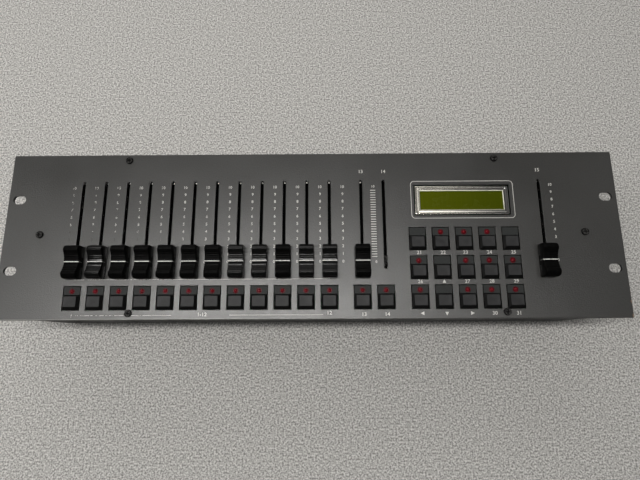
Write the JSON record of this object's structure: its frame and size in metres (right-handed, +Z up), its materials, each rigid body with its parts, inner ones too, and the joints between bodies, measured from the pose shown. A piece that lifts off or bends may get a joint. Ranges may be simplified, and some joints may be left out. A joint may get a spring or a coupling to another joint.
{
  "type": "lighting control desk",
  "caption": "Rack-width stage lighting desk with channel sliders, a master slider, keys with red lamps and a small character display.",
  "frame": {"origin": "middle of the underside of the rubber feet, below the centre of the panel", "axes": "+X along the width to the operator's right, +Y away from the operator, +Z up, out of the control panel"},
  "size_m": [0.4826, 0.1324, 0.0855],
  "materials": {
    "panel_paint": "satin",
    "tray_paint": "satin",
    "black_screws": "satin",
    "foot_rubber": "matte",
    "slider_case_steel": "satin",
    "slider_cap_plastic": "gloss",
    "key_cap_plastic": "matte",
    "key_body_plastic": "matte",
    "red_lamp_plastic": "gloss",
    "circuit_board": "satin",
    "spacer_brass": "satin",
    "bezel_metal": "polished",
    "display_cell": "gloss",
    "ribbon_plastic": "matte",
    "socket_plastic": "satin"
  },
  "bodies": {
    "desk": {"front_panel": "panel_paint", "chassis_tray": "tray_paint", "chassis_ends": "tray_paint", "panel_screws": "black_screws", "rubber_feet": "foot_rubber", "slider_housings": "slider_case_steel", "key_housings": "key_body_plastic", "lamps": "red_lamp_plastic", "control_board": "circuit_board", "board_spacers": "spacer_brass", "display_board": "circuit_board", "display_bezel": "bezel_metal", "display_cell": "display_cell", "main_board": "circuit_board", "ribbon_cable": "ribbon_plastic", "rear_sockets": "socket_plastic"},
    "slider_01": {"slider_01": "slider_cap_plastic"},
    "slider_02": {"slider_02": "slider_cap_plastic"},
    "slider_03": {"slider_03": "slider_cap_plastic"},
    "slider_04": {"slider_04": "slider_cap_plastic"},
    "slider_05": {"slider_05": "slider_cap_plastic"},
    "slider_06": {"slider_06": "slider_cap_plastic"},
    "slider_07": {"slider_07": "slider_cap_plastic"},
    "slider_08": {"slider_08": "slider_cap_plastic"},
    "slider_09": {"slider_09": "slider_cap_plastic"},
    "slider_10": {"slider_10": "slider_cap_plastic"},
    "slider_11": {"slider_11": "slider_cap_plastic"},
    "slider_12": {"slider_12": "slider_cap_plastic"},
    "slider_13": {"slider_13": "slider_cap_plastic"},
    "slider_14": {"slider_14": "slider_cap_plastic"},
    "slider_master": {"slider_master": "slider_cap_plastic"},
    "key_01": {"key_01": "key_cap_plastic"},
    "key_02": {"key_02": "key_cap_plastic"},
    "key_03": {"key_03": "key_cap_plastic"},
    "key_04": {"key_04": "key_cap_plastic"},
    "key_05": {"key_05": "key_cap_plastic"},
    "key_06": {"key_06": "key_cap_plastic"},
    "key_07": {"key_07": "key_cap_plastic"},
    "key_08": {"key_08": "key_cap_plastic"},
    "key_09": {"key_09": "key_cap_plastic"},
    "key_10": {"key_10": "key_cap_plastic"},
    "key_11": {"key_11": "key_cap_plastic"},
    "key_12": {"key_12": "key_cap_plastic"},
    "key_13": {"key_13": "key_cap_plastic"},
    "key_14": {"key_14": "key_cap_plastic"},
    "keypad_1_1": {"keypad_1_1": "key_cap_plastic"},
    "keypad_1_2": {"keypad_1_2": "key_cap_plastic"},
    "keypad_1_3": {"keypad_1_3": "key_cap_plastic"},
    "keypad_1_4": {"keypad_1_4": "key_cap_plastic"},
    "keypad_1_5": {"keypad_1_5": "key_cap_plastic"},
    "keypad_2_1": {"keypad_2_1": "key_cap_plastic"},
    "keypad_2_2": {"keypad_2_2": "key_cap_plastic"},
    "keypad_2_3": {"keypad_2_3": "key_cap_plastic"},
    "keypad_2_4": {"keypad_2_4": "key_cap_plastic"},
    "keypad_2_5": {"keypad_2_5": "key_cap_plastic"},
    "keypad_3_1": {"keypad_3_1": "key_cap_plastic"},
    "keypad_3_2": {"keypad_3_2": "key_cap_plastic"},
    "keypad_3_3": {"keypad_3_3": "key_cap_plastic"},
    "keypad_3_4": {"keypad_3_4": "key_cap_plastic"},
    "keypad_3_5": {"keypad_3_5": "key_cap_plastic"}
  },
  "joints": [
    {"name": "slider_01_travel", "type": "slide", "parent": "desk", "child": "slider_01", "axis": [0, 1, 0], "range_m": [0, 0.06]},
    {"name": "slider_02_travel", "type": "slide", "parent": "desk", "child": "slider_02", "axis": [0, 1, 0], "range_m": [0, 0.06]},
    {"name": "slider_03_travel", "type": "slide", "parent": "desk", "child": "slider_03", "axis": [0, 1, 0], "range_m": [0, 0.06]},
    {"name": "slider_04_travel", "type": "slide", "parent": "desk", "child": "slider_04", "axis": [0, 1, 0], "range_m": [0, 0.06]},
    {"name": "slider_05_travel", "type": "slide", "parent": "desk", "child": "slider_05", "axis": [0, 1, 0], "range_m": [0, 0.06]},
    {"name": "slider_06_travel", "type": "slide", "parent": "desk", "child": "slider_06", "axis": [0, 1, 0], "range_m": [0, 0.06]},
    {"name": "slider_07_travel", "type": "slide", "parent": "desk", "child": "slider_07", "axis": [0, 1, 0], "range_m": [0, 0.06]},
    {"name": "slider_08_travel", "type": "slide", "parent": "desk", "child": "slider_08", "axis": [0, 1, 0], "range_m": [0, 0.06]},
    {"name": "slider_09_travel", "type": "slide", "parent": "desk", "child": "slider_09", "axis": [0, 1, 0], "range_m": [0, 0.06]},
    {"name": "slider_10_travel", "type": "slide", "parent": "desk", "child": "slider_10", "axis": [0, 1, 0], "range_m": [0, 0.06]},
    {"name": "slider_11_travel", "type": "slide", "parent": "desk", "child": "slider_11", "axis": [0, 1, 0], "range_m": [0, 0.06]},
    {"name": "slider_12_travel", "type": "slide", "parent": "desk", "child": "slider_12", "axis": [0, 1, 0], "range_m": [0, 0.06]},
    {"name": "slider_13_travel", "type": "slide", "parent": "desk", "child": "slider_13", "axis": [0, 1, 0], "range_m": [0, 0.06]},
    {"name": "slider_14_travel", "type": "slide", "parent": "desk", "child": "slider_14", "axis": [0, 1, 0], "range_m": [0, 0.06]},
    {"name": "slider_master_travel", "type": "slide", "parent": "desk", "child": "slider_master", "axis": [0, 1, 0], "range_m": [0, 0.06]},
    {"name": "key_01_press", "type": "slide", "parent": "desk", "child": "key_01", "axis": [0, 0, -1], "range_m": [0, 0.0015], "stiffness_N_per_m": 400},
    {"name": "key_02_press", "type": "slide", "parent": "desk", "child": "key_02", "axis": [0, 0, -1], "range_m": [0, 0.0015], "stiffness_N_per_m": 400},
    {"name": "key_03_press", "type": "slide", "parent": "desk", "child": "key_03", "axis": [0, 0, -1], "range_m": [0, 0.0015], "stiffness_N_per_m": 400},
    {"name": "key_04_press", "type": "slide", "parent": "desk", "child": "key_04", "axis": [0, 0, -1], "range_m": [0, 0.0015], "stiffness_N_per_m": 400},
    {"name": "key_05_press", "type": "slide", "parent": "desk", "child": "key_05", "axis": [0, 0, -1], "range_m": [0, 0.0015], "stiffness_N_per_m": 400},
    {"name": "key_06_press", "type": "slide", "parent": "desk", "child": "key_06", "axis": [0, 0, -1], "range_m": [0, 0.0015], "stiffness_N_per_m": 400},
    {"name": "key_07_press", "type": "slide", "parent": "desk", "child": "key_07", "axis": [0, 0, -1], "range_m": [0, 0.0015], "stiffness_N_per_m": 400},
    {"name": "key_08_press", "type": "slide", "parent": "desk", "child": "key_08", "axis": [0, 0, -1], "range_m": [0, 0.0015], "stiffness_N_per_m": 400},
    {"name": "key_09_press", "type": "slide", "parent": "desk", "child": "key_09", "axis": [0, 0, -1], "range_m": [0, 0.0015], "stiffness_N_per_m": 400},
    {"name": "key_10_press", "type": "slide", "parent": "desk", "child": "key_10", "axis": [0, 0, -1], "range_m": [0, 0.0015], "stiffness_N_per_m": 400},
    {"name": "key_11_press", "type": "slide", "parent": "desk", "child": "key_11", "axis": [0, 0, -1], "range_m": [0, 0.0015], "stiffness_N_per_m": 400},
    {"name": "key_12_press", "type": "slide", "parent": "desk", "child": "key_12", "axis": [0, 0, -1], "range_m": [0, 0.0015], "stiffness_N_per_m": 400},
    {"name": "key_13_press", "type": "slide", "parent": "desk", "child": "key_13", "axis": [0, 0, -1], "range_m": [0, 0.0015], "stiffness_N_per_m": 400},
    {"name": "key_14_press", "type": "slide", "parent": "desk", "child": "key_14", "axis": [0, 0, -1], "range_m": [0, 0.0015], "stiffness_N_per_m": 400},
    {"name": "keypad_1_1_press", "type": "slide", "parent": "desk", "child": "keypad_1_1", "axis": [0, 0, -1], "range_m": [0, 0.0015], "stiffness_N_per_m": 400},
    {"name": "keypad_1_2_press", "type": "slide", "parent": "desk", "child": "keypad_1_2", "axis": [0, 0, -1], "range_m": [0, 0.0015], "stiffness_N_per_m": 400},
    {"name": "keypad_1_3_press", "type": "slide", "parent": "desk", "child": "keypad_1_3", "axis": [0, 0, -1], "range_m": [0, 0.0015], "stiffness_N_per_m": 400},
    {"name": "keypad_1_4_press", "type": "slide", "parent": "desk", "child": "keypad_1_4", "axis": [0, 0, -1], "range_m": [0, 0.0015], "stiffness_N_per_m": 400},
    {"name": "keypad_1_5_press", "type": "slide", "parent": "desk", "child": "keypad_1_5", "axis": [0, 0, -1], "range_m": [0, 0.0015], "stiffness_N_per_m": 400},
    {"name": "keypad_2_1_press", "type": "slide", "parent": "desk", "child": "keypad_2_1", "axis": [0, 0, -1], "range_m": [0, 0.0015], "stiffness_N_per_m": 400},
    {"name": "keypad_2_2_press", "type": "slide", "parent": "desk", "child": "keypad_2_2", "axis": [0, 0, -1], "range_m": [0, 0.0015], "stiffness_N_per_m": 400},
    {"name": "keypad_2_3_press", "type": "slide", "parent": "desk", "child": "keypad_2_3", "axis": [0, 0, -1], "range_m": [0, 0.0015], "stiffness_N_per_m": 400},
    {"name": "keypad_2_4_press", "type": "slide", "parent": "desk", "child": "keypad_2_4", "axis": [0, 0, -1], "range_m": [0, 0.0015], "stiffness_N_per_m": 400},
    {"name": "keypad_2_5_press", "type": "slide", "parent": "desk", "child": "keypad_2_5", "axis": [0, 0, -1], "range_m": [0, 0.0015], "stiffness_N_per_m": 400},
    {"name": "keypad_3_1_press", "type": "slide", "parent": "desk", "child": "keypad_3_1", "axis": [0, 0, -1], "range_m": [0, 0.0015], "stiffness_N_per_m": 400},
    {"name": "keypad_3_2_press", "type": "slide", "parent": "desk", "child": "keypad_3_2", "axis": [0, 0, -1], "range_m": [0, 0.0015], "stiffness_N_per_m": 400},
    {"name": "keypad_3_3_press", "type": "slide", "parent": "desk", "child": "keypad_3_3", "axis": [0, 0, -1], "range_m": [0, 0.0015], "stiffness_N_per_m": 400},
    {"name": "keypad_3_4_press", "type": "slide", "parent": "desk", "child": "keypad_3_4", "axis": [0, 0, -1], "range_m": [0, 0.0015], "stiffness_N_per_m": 400},
    {"name": "keypad_3_5_press", "type": "slide", "parent": "desk", "child": "keypad_3_5", "axis": [0, 0, -1], "range_m": [0, 0.0015], "stiffness_N_per_m": 400}
  ]
}
